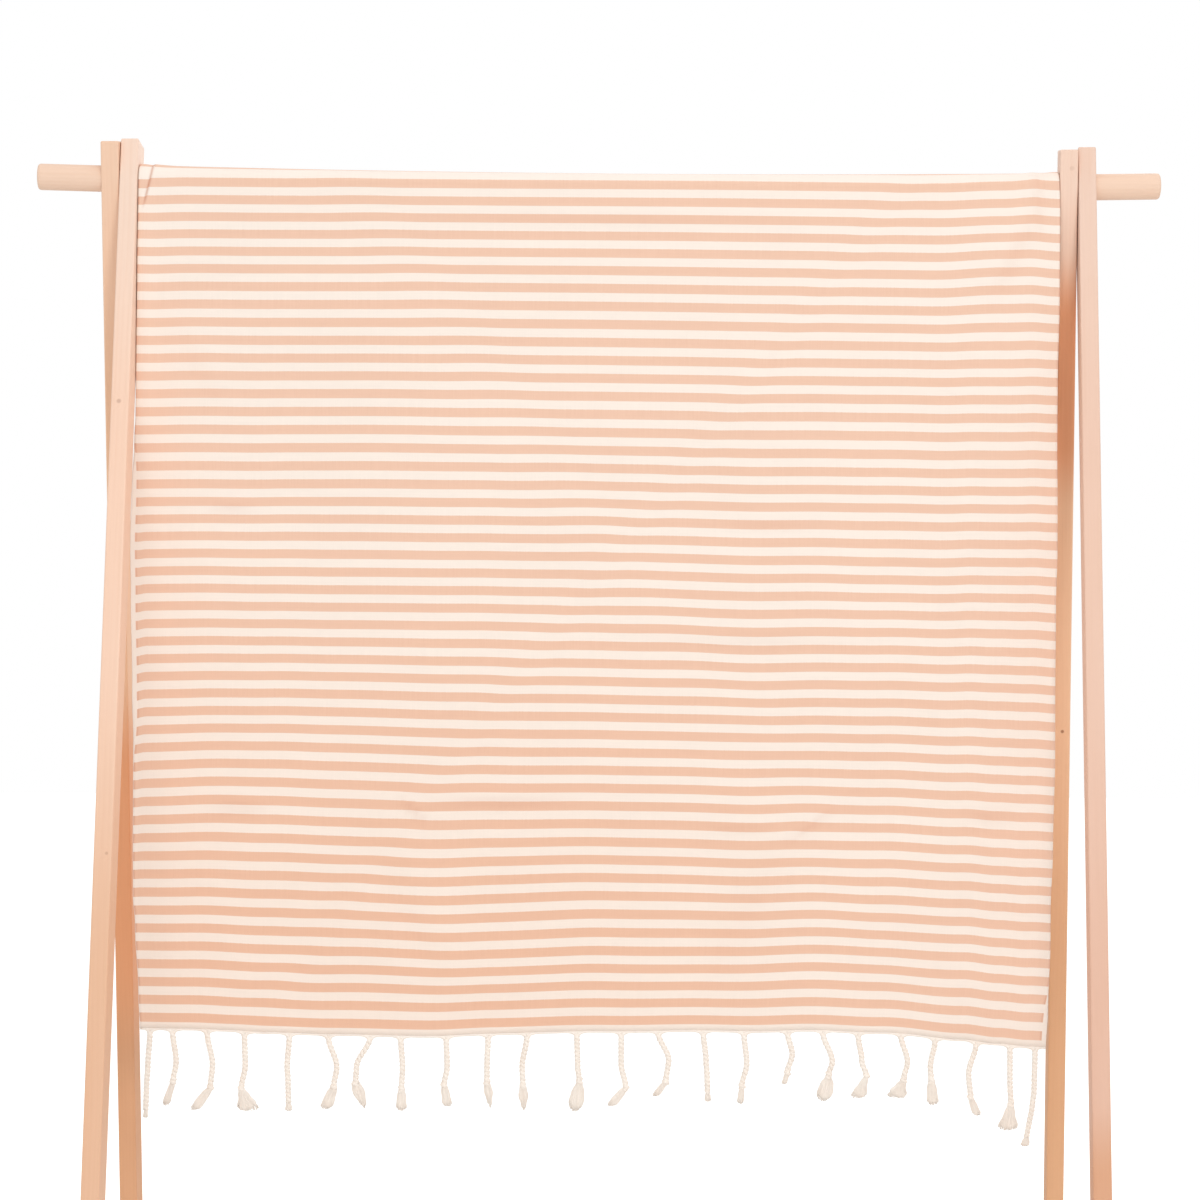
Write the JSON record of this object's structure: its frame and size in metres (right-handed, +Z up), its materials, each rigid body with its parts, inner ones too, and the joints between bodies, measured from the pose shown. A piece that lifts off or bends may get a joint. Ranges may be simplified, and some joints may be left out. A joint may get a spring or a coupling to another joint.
{
  "type": "hammam towel on a wooden rod stand",
  "caption": "Flat-woven striped cotton towel with a knotted fringe, draped over the rod of a plain wooden stand with crossed A-frame legs.",
  "frame": {"origin": "on the floor, under the middle of the rod", "axes": "+Z up, +X along the rod to the viewer's right, -Y towards the viewer, who sees the longer panel of the towel"},
  "size_m": [1.2, 0.457, 1.5019],
  "materials": {
    "striped_cotton": "flat weave in cream and apricot stripes, matte",
    "fringe_threads": "twisted undyed cotton, matte",
    "wood": "planed pale softwood, unvarnished"
  },
  "bodies": {
    "root": {"towel": "striped_cotton", "fringe_front": "fringe_threads", "fringe_back": "fringe_threads", "rod": "wood", "left_front_leg": "wood", "left_back_leg": "wood", "right_front_leg": "wood", "right_back_leg": "wood"}
  },
  "joints": []
}
